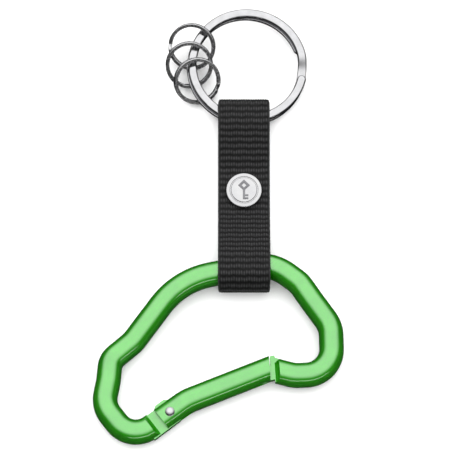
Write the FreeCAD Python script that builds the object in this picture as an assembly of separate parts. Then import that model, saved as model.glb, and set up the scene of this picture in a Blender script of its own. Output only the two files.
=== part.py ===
"""Key organiser: a wavy aluminium clip, a doubled webbing strap and a split ring that carries three small rings.

Millimetres. The object lies on its back: +X across the strap, +Y from the clip towards the split ring, +Z up.
Z = 0 is the surface that it lies on, and the origin is there, under the middle of the object's footprint.
Each sub-part is written to parts/NODE.step.
"""
import FreeCAD, Part
import math
import os

from FreeCAD import Placement, Rotation, Vector

X_AXIS = Vector(1, 0, 0)
Z_AXIS = Vector(0, 0, 1)

# Middle of the whole object's footprint, in the frame of the dimensions below
MIDDLE = Vector(-7.28, -9.72, 0)

# Webbing strap: its middle is the point that the other dimensions are measured from
STRAP_WIDTH = 15.0
WEB = 1.3                       # thickness of one layer
PANEL_HALF = 8.5                # half length of the riveted middle
FLEX_GAP = 1.2                  # free length at each place where the strap bends
OVERLAP_HALF = 5.6              # half length of the band's inner end
FLEX_Y = PANEL_HALF + FLEX_GAP / 2
FLEX_Z = WEB
LOOP_START = PANEL_HALF + FLEX_GAP

# Clip bar: section, and the centreline as (x, y, corner radius) in the clip's own plane
BAR_WIDTH = 7.0
BAR_THICK = 6.5
BAR_CORNER = 2.9
BODY_LINE = [
    (7.8, -29.1, 0),
    (14.2, -30.8, 8.0),
    (25.0, -30.3, 7.5),
    (24.7, -16.5, 8.2),
    (19.1, -8.6, 8.0),
    (15.8, -3.7, 8.5),
    (7.8, 2.3, 12.5),
    (-18.5, -2.9, 23.0),
    (-31.7, -21.1, 10.0),
    (-38.0, -26.4, 5.0),
    (-38.5, -32.3, 8.0),
    (-39.9, -39.6, 7.3),
    (-32.0, -49.6, 6.8),
    (-21.0, -41.9, 0),
]
GATE_LINE = [(-26.0, -45.4, 0), (-16.3, -38.3, 14.0), (9.6, -27.9, 0)]
PIN_XY = Vector(-21.0, -41.9, 0)
GATE_END_XY = Vector(7.2, -28.9, 0)
HINGE_ANGLE = 37.5              # direction of the bar at the hinge, from +X
NOSE_ANGLE = 4.0               # direction that the gate's free end faces, from +X
GATE_ANGLE = 21.8               # direction of the gate's straight part
SWIVEL_ANGLE = 5.9              # direction of the bar inside the strap's loop
SWIVEL_Y = 0.55                 # and where it crosses the strap's centre line

# Hinge and nose: milled tongues on the body, slots in the gate
TONGUE = 2.2
SLOT = 2.4
CHEEK_END = -3.1                # gate's end, along the bar from the pin
SHOULDER = -5.6                 # foot of the shoulder on the body, along the bar from the pin
SHOULDER_RUN = 1.3              # length of the curved shoulder
PIN_R = 1.0
PIN_HEAD_R = 1.35
PIN_HEAD = 0.45
PIN_CLEARANCE = 0.05
GATE_OPEN_DEG = 30.0

# Spring and plunger in the gate's bore
BORE_R = 1.15
BORE_ANGLE = 28.0
BORE_OFFSET = 0.9               # inner side of the pin
BORE_END = 14.0                 # along the bore from the pin
PLUNGER_R = 1.05
PLUNGER_TIP = 3.25
PLUNGER_LENGTH = 3.4
PLUNGER_TRAVEL = 0.4
SPRING_R = 0.85
SPRING_WIRE = 0.3
SPRING_TURNS = 7

# Loop round the clip's bar
LOW_IN = 4.2                    # inner radius of the loop
LOW_END_Y = -25.65              # centre of the rounded end
CLIP_Y = -24.65
CLIP_Z = WEB + LOW_IN
CLIP_TILT = 2.42                # degrees: the clip's near side rests on the hinge pin's head

# Loop round the split ring
TOP_IN = 2.55
TOP_END_Y = 24.35

# Split ring: outer radius, radial width and height of the wire
RING_R = 17.5
RING_WIDE = 2.5
RING_HIGH = 1.5
RING_XY = (1.12, 38.35)
RING_Z = 4.1
RING_SLOPE_X = -0.0604          # rise of the ring's plane per mm of X and Y
RING_SLOPE_Y = 0.036
RING_SPLIT = 4.0                # middle of the crossover, degrees from +X
RING_CROSSOVER = 36.0
RING_SHIFT = (-0.28, -0.32)     # the lower coil doesn't lie quite under the upper one
COIL_GAP = 0.06

# Small rings
SMALL_R = 6.93
SMALL_WIDE = 1.1
SMALL_HIGH = 0.75
SMALL_RINGS = [                 # angle on the split ring, distance from its centre, lean, split
    (160.3, 17.4, 30.5, 200.0),
    (179.3, 17.1, 30.5, 250.0),
    (197.6, 15.5, 31.5, 330.0),
]

# Badge and its rivet
BADGE_R = 5.25
BADGE_RIM = 1.0
BADGE_DOME = 0.45
BADGE_GROOVE_R = 3.9
POST_R = 0.95
CAP_R = 3.6
CAP_HIGH = 0.6
CAP_RECESS = 0.1
POST_TOP = 3 * WEB + 0.75


def clip_placement():
    """From the clip's own plane to where the clip lies."""
    return Placement(Vector(0, CLIP_Y, CLIP_Z), Rotation(X_AXIS, CLIP_TILT))


def ring_placement():
    """From the split ring's own plane to where it lies."""
    normal = Vector(-RING_SLOPE_X, -RING_SLOPE_Y, 1)
    return Placement(Vector(*RING_XY, RING_Z), Rotation(Z_AXIS, normal))


def direction(degrees):
    return Vector(math.cos(math.radians(degrees)), math.sin(math.radians(degrees)), 0)


def dome_arc(radius, rise, foot):
    """The profile of a dome that rises from a radius to the axis, in the XZ plane."""
    sphere = (radius * radius + rise * rise) / (2 * rise)
    half_way = radius / 2
    height = rise - sphere + math.sqrt(sphere * sphere - half_way * half_way)
    ends = Vector(radius, 0, foot), Vector(0, 0, foot + rise)
    return Part.Arc(ends[0], Vector(half_way, 0, foot + height), ends[1]).toShape()


def filleted_line(points):
    """A wire of straight runs joined by tangent arcs through (x, y, radius) points."""
    edges = []
    start = Vector(points[0][0], points[0][1], 0)
    for before, here, after in zip(points, points[1:], points[2:]):
        corner = Vector(here[0], here[1], 0)
        back = (Vector(before[0], before[1], 0) - corner).normalize()
        ahead = (Vector(after[0], after[1], 0) - corner).normalize()
        half = back.getAngle(ahead) / 2
        reach = here[2] / math.tan(half)
        middle = (back + ahead).normalize()
        nearest = corner + middle * (here[2] / math.sin(half) - here[2])
        enter = corner + back * reach
        leave = corner + ahead * reach
        edges.append(Part.LineSegment(start, enter).toShape())
        edges.append(Part.Arc(enter, nearest, leave).toShape())
        start = leave
    edges.append(Part.LineSegment(start, Vector(points[-1][0], points[-1][1], 0)).toShape())
    return Part.Wire(edges)


def rounded_section(width, height, radii, centre, across, up):
    """A closed wire: a rectangle whose corners are rounded, given from (-, -) anticlockwise."""
    signs = [(-1, -1), (1, -1), (1, 1), (-1, 1)]

    def at(u, v):
        return centre + across * u + up * v

    edges = []
    ends = []
    for (sx, sy), radius in zip(signs, radii):
        x, y = sx * width / 2, sy * height / 2
        along_side = at(x, y - sy * radius)
        along_face = at(x - sx * radius, y)
        bulge = radius * (1 - math.sqrt(0.5))
        top = at(x - sx * bulge, y - sy * bulge)
        first, last = (along_side, along_face) if sx == sy else (along_face, along_side)
        edges.append(Part.Arc(first, top, last).toShape())
        ends.append((first, last))
    for n, (first, _) in enumerate(ends):
        edges.append(Part.LineSegment(ends[n - 1][1], first).toShape())
    return Part.Wire(Part.__sortEdges__(edges))


def bar_along(points):
    """The clip's bar, swept along a filleted line."""
    wire = filleted_line(points)
    start = Vector(points[0][0], points[0][1], 0)
    heading = (Vector(points[1][0], points[1][1], 0) - start).normalize()
    across = Z_AXIS.cross(heading)
    section = rounded_section(BAR_WIDTH, BAR_THICK, [BAR_CORNER] * 4, start, across, Z_AXIS)
    return wire.makePipeShell([section], True, False)


def block(origin, angle, x0, x1, y0, y1, z0, z1):
    """A box in a frame whose x runs at an angle through origin."""
    box = Part.makeBox(x1 - x0, y1 - y0, z1 - z0, Vector(x0, y0, z0))
    box.Placement = Placement(origin, Rotation(Z_AXIS, angle))
    return box


def plate(points, thickness, origin, angle):
    """An outline of (x, y) points in a turned frame, made into a plate about the plane."""
    corners = [Vector(x, y, -thickness / 2) for x, y in points]
    face = Part.Face(Part.makePolygon(corners + corners[:1]))
    solid = face.extrude(Vector(0, 0, thickness))
    solid.Placement = Placement(origin, Rotation(Z_AXIS, angle))
    return solid


def milled_shoulder(origin, angle, foot, run):
    """Two cutters that mill a bar down to its tongue, leaving a hollow shoulder that rises away from the foot."""
    far = 40.0
    reach = BAR_THICK
    side = 1 if run > 0 else -1
    cutters = []
    for up in (1, -1):
        level = up * TONGUE / 2
        top = up * (TONGUE / 2 + abs(run) * 1.9)
        a = Vector(foot, -reach, level)
        b = Vector(foot + run, -reach, top)
        bulge = Vector(foot + run * 0.72, -reach, level + (top - level) * 0.36)
        outline = [
            Part.Arc(a, bulge, b).toShape(),
            Part.makeLine(b, Vector(foot + run, -reach, up * far)),
            Part.makeLine(Vector(foot + run, -reach, up * far), Vector(foot - side * far, -reach, up * far)),
            Part.makeLine(Vector(foot - side * far, -reach, up * far), Vector(foot - side * far, -reach, level)),
            Part.makeLine(Vector(foot - side * far, -reach, level), a),
        ]
        solid = Part.Face(Part.Wire(outline)).extrude(Vector(0, 2 * reach, 0))
        solid.Placement = Placement(origin, Rotation(Z_AXIS, angle))
        cutters.append(solid)
    return cutters


def hinge_tongue():
    """The flat end of the body that the gate turns on, with a lobe on its inner side."""
    outline = [
        (-8.0, -3.4), (1.2, -3.4), (2.6, -2.4), (3.2, -0.9), (3.2, 1.6), (2.0, 3.3),
        (0.9, 4.2), (-2.0, 4.2), (-3.2, 3.4), (-8.0, 3.4),
    ]
    solid = plate(outline, TONGUE, PIN_XY, HINGE_ANGLE)
    corners = [e for e in solid.Edges if abs(e.tangentAt(e.FirstParameter).z) > 0.99]
    inner = [e for e in corners if (e.CenterOfMass - PIN_XY).Length < 5.5]
    return solid.makeFillet(0.45, inner)


def nose_tongue():
    """The flat end of the body that slides into the gate's slot."""
    outline = [
        (4.0, -3.45), (4.0, 3.4), (0.8, 3.4), (0.35, 0.85), (-3.3, 0.6), (-3.9, 0.0),
        (-3.9, -3.2), (-2.4, -3.45),
    ]
    solid = plate(outline, TONGUE, GATE_END_XY, (NOSE_ANGLE + GATE_ANGLE) / 2)
    return solid.common(bar_along(GATE_LINE).fuse(bar_along(BODY_LINE)))


def clip_body():
    """The open bar with a milled tongue at each end."""
    bar = bar_along(BODY_LINE)
    hinge_side = block(PIN_XY, HINGE_ANGLE, SHOULDER - SHOULDER_RUN, 12, -9, 9, -9, 9)
    nose_foot = 1.5
    nose_side = block(GATE_END_XY, NOSE_ANGLE, -12, nose_foot + SHOULDER_RUN, -6, 6, -9, 9)
    ends = bar.common(hinge_side.fuse(nose_side))
    middle = bar.cut(hinge_side).cut(nose_side)
    for cutter in milled_shoulder(PIN_XY, HINGE_ANGLE, SHOULDER, -SHOULDER_RUN):
        ends = ends.cut(cutter)
    for cutter in milled_shoulder(GATE_END_XY, NOSE_ANGLE, nose_foot, SHOULDER_RUN):
        ends = ends.cut(cutter)
    ends = ends.cut(block(PIN_XY, HINGE_ANGLE, SHOULDER + 0.2, 12, -9, 9, -9, 9))
    ends = ends.cut(block(GATE_END_XY, NOSE_ANGLE, -12, nose_foot - 0.2, -9, 9, -9, 9))
    body = middle.fuse([ends, hinge_tongue(), nose_tongue()]).removeSplitter()
    hole = Part.makeCylinder(PIN_R + PIN_CLEARANCE, 20, PIN_XY - Z_AXIS * 10, Z_AXIS)
    return body.cut(hole)


def bore(radius, start, end):
    """A cylinder along the gate's bore, between two distances from the pin."""
    heading = direction(BORE_ANGLE)
    side = Z_AXIS.cross(heading)
    origin = PIN_XY + side * BORE_OFFSET
    return Part.makeCylinder(radius, end - start, origin + heading * start, heading)


def clip_gate():
    """The gate: two cheeks at the hinge, a slot at the nose and a blind bore for the spring."""
    bar = bar_along(GATE_LINE)
    bar = bar.cut(block(PIN_XY, HINGE_ANGLE, -20, CHEEK_END, -12, 12, -9, 9))
    bar = bar.cut(block(GATE_END_XY, NOSE_ANGLE, 0, 20, -12, 12, -9, 9))
    hinge_slot = plate([(-8, -6), (5.6, -6), (4.3, 0), (4.3, 6), (-8, 6)], SLOT, PIN_XY, HINGE_ANGLE)
    nose_slot = plate(
        [(6, -6), (6, 1.0), (-4.1, 0.8), (-5.2, -1.0), (-6.6, -6)],
        SLOT,
        GATE_END_XY,
        (NOSE_ANGLE + GATE_ANGLE) / 2,
    )
    gate = bar.cut([hinge_slot, nose_slot, bore(BORE_R, 2.0, BORE_END)])
    hole = Part.makeCylinder(PIN_R, 20, PIN_XY - Z_AXIS * 10, Z_AXIS)
    return gate.cut(hole)


def hinge_pin():
    """A rivet with two domed heads that stand on the gate's cheeks."""
    half = BAR_THICK / 2
    outline = [
        Part.makeLine(Vector(0, 0, 0), Vector(PIN_R, 0, 0)),
        Part.makeLine(Vector(PIN_R, 0, 0), Vector(PIN_R, 0, half)),
        Part.makeLine(Vector(PIN_R, 0, half), Vector(PIN_HEAD_R, 0, half)),
        dome_arc(PIN_HEAD_R, PIN_HEAD, half),
        Part.makeLine(Vector(0, 0, half + PIN_HEAD), Vector(0, 0, 0)),
    ]
    upper = Part.Face(Part.Wire(outline)).revolve(Vector(0, 0, 0), Z_AXIS, 360)
    lower = upper.mirror(Vector(0, 0, 0), Z_AXIS)
    pin = upper.fuse(lower).removeSplitter()
    pin.translate(PIN_XY)
    return pin


def gate_plunger():
    """The round-nosed pin that the spring pushes against the tongue."""
    heading = direction(BORE_ANGLE)
    rod = bore(PLUNGER_R, PLUNGER_TIP, PLUNGER_TIP + PLUNGER_LENGTH)
    tip = [e for e in rod.Edges if e.Closed and (e.CenterOfMass - PIN_XY).dot(heading) < PLUNGER_TIP + 0.1]
    return rod.makeFillet(0.6, tip)


def gate_spring():
    """A coil spring between the plunger and the bore's blind end."""
    start = PLUNGER_TIP + PLUNGER_LENGTH + SPRING_WIRE / 2 + 0.02
    length = BORE_END - start - SPRING_WIRE / 2 - 0.02
    helix = Part.makeHelix(length / SPRING_TURNS, length, SPRING_R)
    profile = Part.Wire(Part.makeCircle(SPRING_WIRE / 2, Vector(SPRING_R, 0, 0), Vector(0, 1, 0)))
    coil = Part.Wire(helix).makePipeShell([profile], True, True)
    heading = direction(BORE_ANGLE)
    origin = PIN_XY + Z_AXIS.cross(heading) * BORE_OFFSET + heading * start
    coil.Placement = Placement(origin, Rotation(Z_AXIS, heading))
    return coil


def loop_face(end_y, radius, centre_z, near_y, join_y, rise):
    """A tapering loop in the YZ plane: a round end of a radius, then sides that close towards join_y."""
    side = 1 if end_y > 0 else -1
    top = centre_z + radius
    floor = centre_z - radius
    points = [
        Vector(0, join_y, floor),
        Vector(0, end_y, floor),
        Vector(0, end_y + side * radius, centre_z),
        Vector(0, end_y, top),
        Vector(0, near_y, top),
        Vector(0, join_y, rise),
    ]
    edges = [
        Part.makeLine(points[0], points[1]),
        Part.Arc(points[1], points[2], points[3]).toShape(),
        Part.makeLine(points[3], points[4]),
        Part.makeLine(points[4], points[5]),
    ]
    if (points[5] - points[0]).Length > 1e-6:
        edges.append(Part.makeLine(points[5], points[0]))
    return Part.Face(Part.Wire(edges))


def webbing_loop(end_y, inner, near_y, join_y):
    """One looped end of the strap, round a bar or a ring, as a soft solid."""
    side = 1 if end_y > 0 else -1
    centre_z = WEB + inner
    slope = math.atan2(2 * inner, abs(near_y - join_y))
    outer_near = near_y + side * WEB * math.tan(slope / 2)
    outer = loop_face(end_y, inner + WEB, centre_z, outer_near, side * LOOP_START, 2 * WEB)
    hollow = loop_face(end_y, inner, centre_z, near_y, join_y, WEB)
    solid = outer.cut(hollow).extrude(Vector(STRAP_WIDTH, 0, 0))
    solid.translate(Vector(-STRAP_WIDTH / 2, 0, 0))
    return solid


def strap_strip(points):
    """A flat run of webbing with an outline in the YZ plane."""
    corners = [Vector(-STRAP_WIDTH / 2, y, z) for y, z in points]
    return Part.Face(Part.makePolygon(corners + corners[:1])).extrude(Vector(STRAP_WIDTH, 0, 0))


def post_hole():
    return Part.makeCylinder(POST_R, 10, Vector(0, 0, -1), Z_AXIS)


def back_panel():
    """The strap's back run between the bends, with a pressed seat for the rivet's cap."""
    strip = strap_strip([(-PANEL_HALF, 0), (PANEL_HALF, 0), (PANEL_HALF, WEB), (-PANEL_HALF, WEB)])
    seat = Part.makeCylinder(CAP_R + 0.05, CAP_HIGH + CAP_RECESS, Vector(0, 0, 0), Z_AXIS)
    return strip.cut([seat, post_hole()])


def overlap_end():
    """The band's inner end, clamped between the front and back runs."""
    strip = strap_strip([(-OVERLAP_HALF, WEB), (OVERLAP_HALF, WEB), (OVERLAP_HALF, 2 * WEB), (-OVERLAP_HALF, 2 * WEB)])
    return strip.cut(post_hole())


def front_panel():
    """The strap's front run between the bends; it steps over the overlapped end."""
    step = 7.4
    low = [(-PANEL_HALF, WEB), (-step, WEB), (-OVERLAP_HALF, 2 * WEB)]
    high = [(-PANEL_HALF, 2 * WEB), (-step - 0.4, 2 * WEB), (-OVERLAP_HALF - 0.4, 3 * WEB)]
    right_low = [(-y, z) for y, z in reversed(low)]
    right_high = [(-y, z) for y, z in reversed(high)]
    return strap_strip(low + right_low + list(reversed(right_high)) + list(reversed(high))).cut(post_hole())


def badge():
    """A plain round domed stud with a ring groove and a blind socket for the rivet's post."""
    foot = 3 * WEB
    rim = foot + BADGE_RIM
    outline = [
        Part.makeLine(Vector(0, 0, foot), Vector(BADGE_R - 0.15, 0, foot)),
        Part.makeLine(Vector(BADGE_R - 0.15, 0, foot), Vector(BADGE_R, 0, foot + 0.15)),
        Part.makeLine(Vector(BADGE_R, 0, foot + 0.15), Vector(BADGE_R, 0, rim - 0.35)),
        Part.Arc(
            Vector(BADGE_R, 0, rim - 0.35),
            Vector(BADGE_R - 0.12, 0, rim - 0.1),
            Vector(BADGE_R - 0.4, 0, rim),
        ).toShape(),
        dome_arc(BADGE_R - 0.4, BADGE_DOME, rim),
        Part.makeLine(Vector(0, 0, rim + BADGE_DOME), Vector(0, 0, foot)),
    ]
    stud = Part.Face(Part.Wire(outline)).revolve(Vector(0, 0, 0), Z_AXIS, 360)
    groove = Part.makeTorus(BADGE_GROOVE_R, 0.28, Vector(0, 0, rim + BADGE_DOME * 0.42 + 0.05), Z_AXIS)
    socket = Part.makeCylinder(POST_R, POST_TOP - foot, Vector(0, 0, foot), Z_AXIS)
    return stud.cut([groove, socket])


def badge_rivet():
    """The flat cap on the strap's back and the post that holds the badge."""
    cap = Part.makeCylinder(CAP_R, CAP_HIGH, Vector(0, 0, CAP_RECESS), Z_AXIS)
    lowest = [e for e in cap.Edges if e.Closed and e.CenterOfMass.z < CAP_RECESS + 0.01]
    cap = cap.makeFillet(0.3, lowest)
    base = CAP_RECESS + CAP_HIGH
    post = Part.makeCylinder(POST_R, POST_TOP - base, Vector(0, 0, base), Z_AXIS)
    return cap.fuse(post).removeSplitter()


def split_ring(outer_r, wide, high, split, crossover, shift=(0.0, 0.0)):
    """Two turns of flat wire, one on the other, with a crossover between two rounded ends. It lies about Z = 0."""
    mean_r = outer_r - wide / 2
    level = (high + COIL_GAP) / 2
    face_r = high * 0.36
    seam_r = high * 0.14
    moved = Vector(*shift, 0)

    def ease_at(part):
        """How far the wire has gone from the upper level, 0, to the lower, 1; level near both ends."""
        run = min(max((part - 0.2) / 0.6, 0), 1)
        return run * run * (3 - 2 * run)

    def edge_radii(ease):
        """Corner radii of the lower and upper sides: the outer face is rounder than the seam side."""
        return seam_r + (face_r - seam_r) * ease, face_r + (seam_r - face_r) * ease

    def section(angle, part):
        """The wire's section at an angle; part runs from 0 on the upper turn to 1 on the lower."""
        ease = ease_at(part)
        out = direction(angle)
        centre = out * mean_r + moved * ease + Z_AXIS * (level * (1 - 2 * ease))
        low, top = edge_radii(ease)
        return rounded_section(wide, high, [low, low, top, top], centre, out, Z_AXIS)

    def rounded_end(angle, part, side):
        """Half a disc that finishes a turn."""
        low, top = edge_radii(part)
        centre = direction(angle) * mean_r + moved * part + Z_AXIS * (level * (1 - 2 * part))
        disc = Part.makeCylinder(wide / 2, high, centre - Z_AXIS * (high / 2), Z_AXIS)
        rims = sorted((e for e in disc.Edges if e.Closed), key=lambda e: e.CenterOfMass.z)
        disc = disc.makeFillet(low, [rims[0]]).copy()
        rims = sorted((e for e in disc.Edges if e.Closed), key=lambda e: e.CenterOfMass.z)
        disc = disc.makeFillet(top, [rims[-1]])
        near, far = (0, wide) if side > 0 else (-wide, 0)
        return disc.common(block(centre, angle, -wide, wide, near, far, -high, high))

    def turn(part, start, stop):
        """A turn on one level, with a rounded end at the angle called start."""
        ring = Part.Face(section(start, part)).revolve(moved * part, Z_AXIS, stop - start)
        return ring.fuse(rounded_end(start, part, -1 if stop > start else 1))

    first = split - crossover / 2
    last = split + crossover / 2
    upper = turn(0, first, first - (360 - crossover))
    lower = turn(1, last, last + (360 - crossover))
    steps = 6
    sections = [section(last - crossover * n / steps, n / steps) for n in range(steps + 1)]
    bridge = Part.makeLoft(sections, True, False)
    return upper.fuse([lower, bridge]).removeSplitter()


def small_ring_frame(angle, distance, lean):
    """Placement of a small ring in the split ring's plane, leaning across the wire."""
    turned = Rotation(Z_AXIS, angle - 180)
    leaned = Rotation(X_AXIS, lean)
    return Placement(direction(angle) * distance, turned.multiply(leaned))


def placed(shape, placement):
    moved = shape.copy()
    moved.Placement = placement.multiply(moved.Placement)
    return moved


def build():
    """Every node by name."""
    clip = clip_placement()
    ring = ring_placement()
    nodes = {
        "carabiner_body": placed(clip_body(), clip),
        "carabiner_gate": placed(clip_gate(), clip),
        "gate_hinge_pin": placed(hinge_pin(), clip),
        "gate_plunger": placed(gate_plunger(), clip),
        "gate_spring": placed(gate_spring(), clip),
        "webbing_lower_loop": webbing_loop(LOW_END_Y, LOW_IN, CLIP_Y + 3.3, -(LOOP_START + 0.7)),
        "webbing_upper_loop": webbing_loop(TOP_END_Y, TOP_IN, 19.6, LOOP_START + 1.5),
        "webbing_back_panel": back_panel(),
        "webbing_overlap_end": overlap_end(),
        "webbing_front_panel": front_panel(),
        "badge": badge(),
        "badge_rivet": badge_rivet(),
        "split_ring": placed(
            split_ring(RING_R, RING_WIDE, RING_HIGH, RING_SPLIT, RING_CROSSOVER, RING_SHIFT), ring
        ),
    }
    for n, (angle, distance, lean, split) in enumerate(SMALL_RINGS, 1):
        frame = ring.multiply(small_ring_frame(angle, distance, lean))
        nodes[f"small_ring_{n}"] = placed(split_ring(SMALL_R, SMALL_WIDE, SMALL_HIGH, split, 26.0), frame)
    centred = Placement(-MIDDLE, Rotation())
    return {name: placed(shape, centred) for name, shape in nodes.items()}


def main():
    os.makedirs("parts", exist_ok=True)
    for name, shape in build().items():
        shape.exportStep(f"parts/{name}.step")
        box = shape.BoundBox
        print(
            f"{name}: valid {shape.isValid()}, solids {len(shape.Solids)}, volume {shape.Volume:.2f}, "
            f"x {box.XMin:.2f} {box.XMax:.2f}, y {box.YMin:.2f} {box.YMax:.2f}, z {box.ZMin:.2f} {box.ZMax:.2f}"
        )


if __name__ == "__main__":
    main()
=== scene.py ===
"""Looks of the key organiser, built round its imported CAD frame.

Lengths in the tables of dimensions are millimetres; lights, camera and floor are in metres.
"""
import math

import bpy
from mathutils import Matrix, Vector

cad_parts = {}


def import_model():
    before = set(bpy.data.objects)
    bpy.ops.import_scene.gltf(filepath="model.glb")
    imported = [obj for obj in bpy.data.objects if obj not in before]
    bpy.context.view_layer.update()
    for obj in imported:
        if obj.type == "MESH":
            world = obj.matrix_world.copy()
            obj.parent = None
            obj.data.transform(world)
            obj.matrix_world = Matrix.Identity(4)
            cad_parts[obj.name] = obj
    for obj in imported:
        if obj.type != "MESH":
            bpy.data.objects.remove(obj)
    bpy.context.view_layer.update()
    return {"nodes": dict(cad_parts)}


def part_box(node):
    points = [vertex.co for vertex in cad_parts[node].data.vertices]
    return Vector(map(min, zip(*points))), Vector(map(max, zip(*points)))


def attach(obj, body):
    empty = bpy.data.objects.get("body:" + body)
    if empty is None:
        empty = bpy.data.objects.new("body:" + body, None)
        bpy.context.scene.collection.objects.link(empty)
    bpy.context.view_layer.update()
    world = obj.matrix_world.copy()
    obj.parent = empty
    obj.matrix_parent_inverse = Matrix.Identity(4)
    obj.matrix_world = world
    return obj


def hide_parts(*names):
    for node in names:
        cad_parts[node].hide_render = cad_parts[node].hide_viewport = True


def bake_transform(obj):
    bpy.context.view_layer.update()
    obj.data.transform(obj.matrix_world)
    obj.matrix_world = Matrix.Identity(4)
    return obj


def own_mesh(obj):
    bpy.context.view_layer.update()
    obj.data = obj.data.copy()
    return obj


MM = 0.001

# Camera
LENS = 250.0
SENSOR = 36.0
VIEW_WIDTH = 132.1
VIEW_ELEVATION = 72.0
LOOK_AT = (2.95, -1.55, 3.0)
NEAR_CLIP = 0.01
FAR_CLIP = 20

# Dome: lean of its axis away from the camera, and the angles from that axis within which it is
# bright and beyond which it is dark
DOME_LEAN = 26
DOME_BRIGHT = 24
DOME_DARK = 66
DOME_STRENGTH = 1.6
DARK_LEVEL = 0.02

# Floor and lights, in metres and watts
FLOOR_HALF_SIDE = 3.0
STRIP_SIZE = (1.2, 0.05)
STRIP_PLACE = (0.25, -0.85, 0.52)
STRIP_POWER = 0.9
FILL_SIZE = (5.0, 5.0)
FILL_PLACE = (0, 0, 1.5)
FILL_POWER = 110.0

# Webbing band: half width, thickness and weave
HALF_WIDTH = 7.5
THICKNESS = 1.1
RIB_PITCH = 1.82
YARN_PITCH = 0.72
WEAVE_RELIEF = 0.26
YARN_SHARE = 0.8
POINTS_PER_YARN = 6
POINTS_PER_RIB = 8
FOLD_NARROWING = 0.2
FOLD_SPREAD = 0.9

# Middle line of each half of the band, from the front of its middle round the loop to its back:
# (distance along the strap, height, bend radius)
LOWER_BAND = [
    (0.0, 3.25, 0),
    (-7.0, 3.25, 7.0),
    (-21.3, 10.3, 6.0),
    (-30.43, 10.3, 4.77),
    (-30.43, 0.75, 4.77),
    (0.0, 0.75, 0),
]
UPPER_BAND = [
    (0.0, 3.25, 0),
    (7.0, 3.25, 7.0),
    (19.6, 7.05, 6.0),
    (27.5, 7.05, 3.14),
    (27.5, 0.75, 3.14),
    (0.0, 0.75, 0),
]
INNER_END = [(-5.6, 2.0, 0), (5.6, 2.0, 0)]

# Key pictogram on the badge: a diamond bow, a shaft that points down and two teeth
BOW_REACH = 1.7
BOW_HOLE_REACH = 0.75
BOW_CENTRE = 1.3
SHAFT_HALF = 0.32
SHAFT_FOOT = -2.9
TOOTH_REACH = 1.25
TOOTH_HIGH = 0.5
TOOTH_SPACING = 1.8
KEY_RELIEF = 0.07
KEY_BEVEL = 0.05


# ---------------------------------------------------------------- camera and light


def make_camera():
    """A long lens that looks down at the object."""
    data = bpy.data.cameras.new("camera")
    data.lens = LENS
    data.sensor_width = SENSOR
    camera = bpy.data.objects.new("camera", data)
    bpy.context.scene.collection.objects.link(camera)
    distance = VIEW_WIDTH * MM * LENS / SENSOR
    elevation = math.radians(VIEW_ELEVATION)
    back = Vector((0, -math.cos(elevation), math.sin(elevation)))
    camera.location = Vector(LOOK_AT) * MM + back * distance
    camera.rotation_euler = (math.radians(90 - VIEW_ELEVATION), 0, 0)
    data.clip_start = NEAR_CLIP
    data.clip_end = FAR_CLIP
    bpy.context.scene.camera = camera


def make_floor():
    """A pale floor that bright metal does not mirror."""
    mesh = bpy.data.meshes.new("floor")
    side = FLOOR_HALF_SIDE
    corners = [(-side, -side, 0), (side, -side, 0), (side, side, 0), (-side, side, 0)]
    mesh.from_pydata(corners, [], [(0, 1, 2, 3)])
    floor = bpy.data.objects.new("floor", mesh)
    floor.visible_glossy = False
    bpy.context.scene.collection.objects.link(floor)
    material, _, shader = new_material("pale_floor")
    shader.inputs["Base Color"].default_value = (0.93, 0.93, 0.93, 1)
    shader.inputs["Roughness"].default_value = 0.9
    shader.inputs["Specular IOR Level"].default_value = 0.1
    mesh.materials.append(material)


def make_dome():
    """A studio dome, brightest above the far side of the object and dark at the horizon."""
    world = bpy.data.worlds.new("studio")
    bpy.context.scene.world = world
    world.use_nodes = True
    nodes = world.node_tree.nodes
    links = world.node_tree.links
    background = nodes["Background"]
    direction = nodes.new("ShaderNodeTexCoord")
    towards = nodes.new("ShaderNodeVectorMath")
    towards.operation = "DOT_PRODUCT"
    lean = math.radians(DOME_LEAN)
    towards.inputs[1].default_value = (0, math.sin(lean), math.cos(lean))
    ramp = nodes.new("ShaderNodeValToRGB")
    ramp.color_ramp.interpolation = "EASE"
    ramp.color_ramp.elements[0].position = math.cos(math.radians(DOME_DARK))
    ramp.color_ramp.elements[0].color = (DARK_LEVEL, DARK_LEVEL, DARK_LEVEL, 1)
    ramp.color_ramp.elements[1].position = math.cos(math.radians(DOME_BRIGHT))
    ramp.color_ramp.elements[1].color = (1, 1, 1, 1)
    links.new(direction.outputs["Generated"], towards.inputs[0])
    links.new(towards.outputs["Value"], ramp.inputs["Fac"])
    links.new(ramp.outputs["Color"], background.inputs["Color"])
    background.inputs["Strength"].default_value = DOME_STRENGTH


def make_area_light(name, size, place, power):
    """A rectangular light that faces the object."""
    data = bpy.data.lights.new(name, "AREA")
    data.shape = "RECTANGLE"
    data.size, data.size_y = size
    data.energy = power
    light = bpy.data.objects.new(name, data)
    light.location = place
    light.rotation_euler = light.location.to_track_quat("Z", "Y").to_euler()
    bpy.context.scene.collection.objects.link(light)
    return light


def make_lights():
    """A low strip that draws a bright line along the bars, and a fill that metal does not mirror."""
    make_area_light("strip_light", STRIP_SIZE, STRIP_PLACE, STRIP_POWER)
    fill = make_area_light("fill_light", FILL_SIZE, FILL_PLACE, FILL_POWER)
    fill.visible_glossy = False


# ---------------------------------------------------------------- materials


def new_material(name):
    """An empty Principled material: (material, its node tree, its shader)."""
    material = bpy.data.materials.new(name)
    material.use_nodes = True
    return material, material.node_tree, material.node_tree.nodes["Principled BSDF"]


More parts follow.
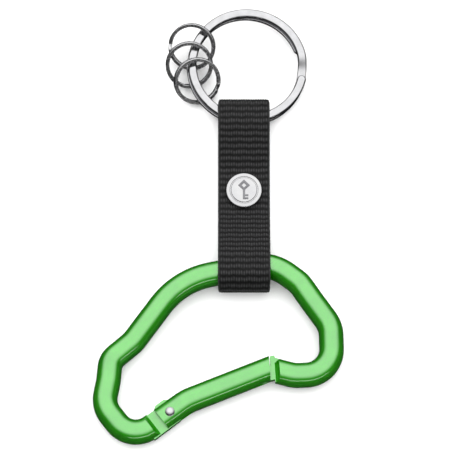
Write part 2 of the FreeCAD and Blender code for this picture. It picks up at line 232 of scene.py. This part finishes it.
def add_noise(tree, scale, detail=2.0):
    """Noise in object space; the scale is in features per metre."""
    position = tree.nodes.new("ShaderNodeTexCoord")
    noise = tree.nodes.new("ShaderNodeTexNoise")
    noise.inputs["Scale"].default_value = scale
    noise.inputs["Detail"].default_value = detail
    tree.links.new(position.outputs["Object"], noise.inputs["Vector"])
    return noise


def spread(tree, noise, socket, low, high):
    """Drives a shader value with noise, between two levels."""
    span = tree.nodes.new("ShaderNodeMapRange")
    span.inputs["From Min"].default_value = 0.3
    span.inputs["From Max"].default_value = 0.7
    span.inputs["To Min"].default_value = low
    span.inputs["To Max"].default_value = high
    tree.links.new(noise.outputs["Fac"], span.inputs["Value"])
    tree.links.new(span.outputs["Result"], socket)


def tint(tree, noise, socket, dark, light):
    """Drives a shader colour with noise, between two colours."""
    ramp = tree.nodes.new("ShaderNodeValToRGB")
    ramp.color_ramp.elements[0].position = 0.3
    ramp.color_ramp.elements[0].color = (*dark, 1)
    ramp.color_ramp.elements[1].position = 0.7
    ramp.color_ramp.elements[1].color = (*light, 1)
    tree.links.new(noise.outputs["Fac"], ramp.inputs["Fac"])
    tree.links.new(ramp.outputs["Color"], socket)


def add_bump(tree, shader, noise, depth):
    """Fine relief; depth in millimetres."""
    bump = tree.nodes.new("ShaderNodeBump")
    bump.inputs["Distance"].default_value = depth * MM
    tree.links.new(noise.outputs["Fac"], bump.inputs["Height"])
    tree.links.new(bump.outputs["Normal"], shader.inputs["Normal"])


def anodised_aluminium():
    """Green dye under a clear, glossy layer."""
    material, tree, shader = new_material("green_anodised_aluminium")
    shader.inputs["Metallic"].default_value = 0.75
    shader.inputs["Specular Tint"].default_value = (0.1, 0.35, 0.1, 1)
    shader.inputs["Coat Weight"].default_value = 1.0
    shader.inputs["Coat IOR"].default_value = 2.5
    shader.inputs["Coat Roughness"].default_value = 0.14
    tint(tree, add_noise(tree, 220), shader.inputs["Base Color"], (0.02, 0.37, 0.001), (0.032, 0.43, 0.002))
    spread(tree, add_noise(tree, 600, 4), shader.inputs["Roughness"], 0.4, 0.46)
    add_bump(tree, shader, add_noise(tree, 2500, 2), 0.002)
    return material


def polished_metal(name, dark, light, low, high, scratch):
    """Bright plated steel with a slight uneven polish."""
    material, tree, shader = new_material(name)
    shader.inputs["Metallic"].default_value = 1.0
    shader.inputs["Specular Tint"].default_value = (0.35, 0.35, 0.37, 1)
    tint(tree, add_noise(tree, 300), shader.inputs["Base Color"], dark, light)
    spread(tree, add_noise(tree, 1200, 4), shader.inputs["Roughness"], low, high)
    add_bump(tree, shader, add_noise(tree, 5000, 3), scratch)
    return material


def webbing_nylon():
    """Dark nylon yarn with painted shade in the grooves of its weave and random tone along it; its fibres
    give it a soft sheen.
    """
    material, tree, shader = new_material("black_nylon_webbing")
    shader.inputs["Sheen Weight"].default_value = 0.08
    shader.inputs["Sheen Roughness"].default_value = 0.4
    shader.inputs["Specular IOR Level"].default_value = 0.2
    # The weave height (0 in a groove, 1 on a yarn) times random tone sets the colour: painted shade in the
    # grooves
    weave = tree.nodes.new("ShaderNodeAttribute")
    weave.attribute_name = "weave"
    tone_and_groove_shade = tree.nodes.new("ShaderNodeMath")
    tone_and_groove_shade.operation = "MULTIPLY"
    spread(tree, add_noise(tree, 1400, 3), tone_and_groove_shade.inputs[0], 0.7, 1.3)
    tree.links.new(weave.outputs["Fac"], tone_and_groove_shade.inputs[1])
    ramp = tree.nodes.new("ShaderNodeValToRGB")
    ramp.color_ramp.elements[0].position = 0.05
    ramp.color_ramp.elements[0].color = (0.001, 0.001, 0.001, 1)
    ramp.color_ramp.elements[1].position = 0.95
    ramp.color_ramp.elements[1].color = (0.034, 0.034, 0.035, 1)
    tree.links.new(tone_and_groove_shade.outputs["Value"], ramp.inputs["Fac"])
    tree.links.new(ramp.outputs["Color"], shader.inputs["Base Color"])
    spread(tree, add_noise(tree, 900, 3), shader.inputs["Roughness"], 0.5, 0.68)
    add_bump(tree, shader, add_noise(tree, 7000, 3), 0.03)
    return material


# ---------------------------------------------------------------- webbing


def rounded_path(corners, step):
    """Evenly spaced (y, z) points in millimetres along straight runs with rounded corners."""
    line = [Vector(corners[0][:2])]
    for before, here, after in zip(corners, corners[1:], corners[2:]):
        corner = Vector(here[:2])
        back = (Vector(before[:2]) - corner).normalized()
        ahead = (Vector(after[:2]) - corner).normalized()
        half = back.angle(ahead) / 2
        reach = here[2] / math.tan(half)
        centre = corner + (back + ahead).normalized() * (here[2] / math.sin(half))
        first = corner + back * reach - centre
        turn = first.angle_signed(corner + ahead * reach - centre)
        count = max(2, round(abs(turn) * here[2] / step))
        for n in range(count + 1):
            angle = -turn * n / count
            line.append(
                centre
                + Vector(
                    (
                        first.x * math.cos(angle) - first.y * math.sin(angle),
                        first.x * math.sin(angle) + first.y * math.cos(angle),
                    )
                )
            )
    line.append(Vector(corners[-1][:2]))
    lengths = [0.0]
    for a, b in zip(line, line[1:]):
        lengths.append(lengths[-1] + (b - a).length)
    total = round(lengths[-1] / step)
    points = []
    run = 0
    for n in range(total + 1):
        along = lengths[-1] * n / total
        while run < len(line) - 2 and lengths[run + 1] < along:
            run += 1
        share = (along - lengths[run]) / max(lengths[run + 1] - lengths[run], 1e-9)
        points.append(line[run].lerp(line[run + 1], min(share, 1.0)))
    return points


def weave_height(along, across):
    """Height of the weave, 0 in a groove to 1 on a yarn: ribs across the band, made of yarns along it."""
    wander = 0.07 * math.sin(1.3 * across + 0.4 * along) + 0.06 * math.sin(3.1 * across - 0.7 * along)
    rib = 0.5 - 0.5 * math.cos(2 * math.pi * (along + wander) / RIB_PITCH)
    yarn = 0.5 + 0.5 * math.cos(2 * math.pi * across / YARN_PITCH)
    return rib * (1 - YARN_SHARE + YARN_SHARE * yarn)


def section_points():
    """Points round the band's section: (across, side, 1 where it is woven or 0 on the selvedge)."""
    columns = round(2 * HALF_WIDTH / YARN_PITCH) * POINTS_PER_YARN
    edge = THICKNESS / 2
    flat = HALF_WIDTH - edge
    face = [-flat + 2 * flat * n / columns for n in range(columns + 1)]
    round_edge = [math.pi / 2 - math.pi * n / 6 for n in range(1, 6)]
    points = [(x, 1.0, 1.0) for x in face]
    points += [(flat + edge * math.cos(a), math.sin(a), 0.0) for a in round_edge]
    points += [(x, -1.0, 1.0) for x in reversed(face)]
    points += [(-flat - edge * math.cos(a), -math.sin(a), 0.0) for a in round_edge]
    return points


def webbing_band(name, corners, centre, material):
    """A woven band swept along a rounded path over the strap's middle; its ends stay open where they meet."""
    step = RIB_PITCH / POINTS_PER_RIB
    path = rounded_path(corners, step)
    far = max(abs(p.x) for p in path)
    section = section_points()
    verts, weave = [], []
    for n, point in enumerate(path):
        ahead = (path[min(n + 1, len(path) - 1)] - path[max(n - 1, 0)]).normalized()
        normal = Vector((-ahead.y, ahead.x))
        if corners[0][0] > corners[1][0]:
            normal = -normal
        narrow = FOLD_NARROWING * math.exp(-(((far - abs(point.x)) / FOLD_SPREAD) ** 2))
        width = (HALF_WIDTH - narrow) / HALF_WIDTH
        for across, side, woven in section:
            along = n * step + (0.5 * RIB_PITCH if side < 0 else 0.0)
            height = weave_height(along, across) if woven else 0.5
            place = point + normal * side * (THICKNESS / 2 + WEAVE_RELIEF * (height - 0.5))
            verts.append(centre + Vector((across * width, place.x, place.y)) * MM)
            weave.append(height)
    size = len(section)
    faces = [
        (n * size + m, n * size + (m + 1) % size, (n + 1) * size + (m + 1) % size, (n + 1) * size + m)
        for n in range(len(path) - 1)
        for m in range(size)
    ]
    mesh = bpy.data.meshes.new(name)
    mesh.from_pydata(verts, [], faces)
    # The weave height is kept for the material, which paints shade into the grooves with it
    mesh.attributes.new("weave", "FLOAT", "POINT").data.foreach_set("value", weave)
    mesh.shade_smooth()
    mesh.materials.append(material)
    band = bpy.data.objects.new(name, mesh)
    bpy.context.scene.collection.objects.link(band)
    return band


def make_strap(material):
    """The continuous band as two halves that meet under the badge, and its inner end."""
    low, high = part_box("webbing_back_panel")
    centre = Vector(((low.x + high.x) / 2, (low.y + high.y) / 2, 0))
    lower = webbing_band("strap_lower_half", LOWER_BAND, centre, material)
    upper = webbing_band("strap_upper_half", UPPER_BAND, centre, material)
    inner = webbing_band("strap_inner_end", INNER_END, centre, material)
    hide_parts("webbing_lower_loop", "webbing_back_panel")
    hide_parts("webbing_upper_loop", "webbing_front_panel")
    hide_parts("webbing_overlap_end")
    for band, loop, side in ((lower, "lower_loop", -1), (upper, "upper_loop", 1)):
        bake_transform(band)
    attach(inner, "badge_panel")


# ---------------------------------------------------------------- badge


def make_pictogram(material):
    """A small raised key on the badge."""
    diamond = [(0, BOW_REACH), (-BOW_REACH, 0), (0, -BOW_REACH), (BOW_REACH, 0)]
    hole = [(x * BOW_HOLE_REACH / BOW_REACH, BOW_CENTRE + y * BOW_HOLE_REACH / BOW_REACH) for x, y in diamond]
    left = -SHAFT_HALF
    neck = BOW_CENTRE - BOW_REACH + SHAFT_HALF
    outline = [(SHAFT_HALF, neck), (BOW_REACH, BOW_CENTRE), (0, BOW_CENTRE + BOW_REACH)]
    outline += [(-BOW_REACH, BOW_CENTRE), (left, neck), (left, SHAFT_FOOT)]
    for n in range(2):
        foot = SHAFT_FOOT + TOOTH_SPACING * n * TOOTH_HIGH
        outline += [(SHAFT_HALF, foot)] * n + [(TOOTH_REACH, foot), (TOOTH_REACH, foot + TOOTH_HIGH)]
        outline += [(SHAFT_HALF, foot + TOOTH_HIGH)]
    curve = bpy.data.curves.new("badge_pictogram", "CURVE")
    curve.dimensions = "2D"
    curve.fill_mode = "BOTH"
    curve.extrude = 3 * KEY_RELIEF * MM
    curve.bevel_depth = KEY_BEVEL * MM
    curve.offset = -KEY_BEVEL * MM
    for points in (outline, hole):
        spline = curve.splines.new("POLY")
        spline.points.add(len(points) - 1)
        spline.use_cyclic_u = True
        for point, (x, y) in zip(spline.points, points):
            point.co = (x * MM, y * MM, 0, 1)
    curve.materials.append(material)
    low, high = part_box("badge")
    key = bpy.data.objects.new("badge_pictogram", curve)
    key.location = ((low.x + high.x) / 2, (low.y + high.y) / 2, high.z - 2 * KEY_RELIEF * MM)
    bpy.context.scene.collection.objects.link(key)
    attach(key, "badge_panel")


# ---------------------------------------------------------------- gate spring


def make_spring(frame, material):
    """The coil spring, as a copy of its CAD part attached to the gate."""
    coil = frame["nodes"]["gate_spring"].copy()
    coil.data = coil.data.copy()
    coil.name = "gate_spring_coil"
    bpy.context.scene.collection.objects.link(coil)
    coil.data.materials.clear()
    coil.data.materials.append(material)
    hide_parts("gate_spring")
    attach(coil, "gate")
    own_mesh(coil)


# ---------------------------------------------------------------- the whole


def dress(nodes, names, material):
    """Gives CAD nodes a material."""
    for name in names:
        mesh = nodes[name].data
        mesh.materials.clear()
        mesh.materials.append(material)


def main():
    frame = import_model()
    make_camera()
    make_floor()
    make_dome()
    make_lights()
    bpy.context.scene.view_settings.view_transform = "Standard"

    nodes = frame["nodes"]
    green = anodised_aluminium()
    nickel = polished_metal("polished_nickel", (0.48, 0.48, 0.49), (0.56, 0.56, 0.57), 0.1, 0.18, 0.003)
    dark_nickel = polished_metal("dark_nickel", (0.52, 0.52, 0.53), (0.62, 0.62, 0.63), 0.2, 0.3, 0.004)
    satin = polished_metal("satin_silver", (0.5, 0.5, 0.51), (0.56, 0.56, 0.56), 0.2, 0.28, 0.004)
    steel = polished_metal("plain_steel", (0.16, 0.16, 0.17), (0.24, 0.24, 0.25), 0.25, 0.4, 0.01)
    dress(nodes, ["carabiner_body", "carabiner_gate"], green)
    dress(nodes, ["split_ring"], nickel)
    dress(nodes, ["small_ring_1", "small_ring_2", "small_ring_3", "gate_hinge_pin"], dark_nickel)
    dress(nodes, ["badge"], satin)
    dress(nodes, ["badge_rivet", "gate_plunger"], steel)
    make_spring(frame, steel)
    make_pictogram(steel)
    make_strap(webbing_nylon())


main()
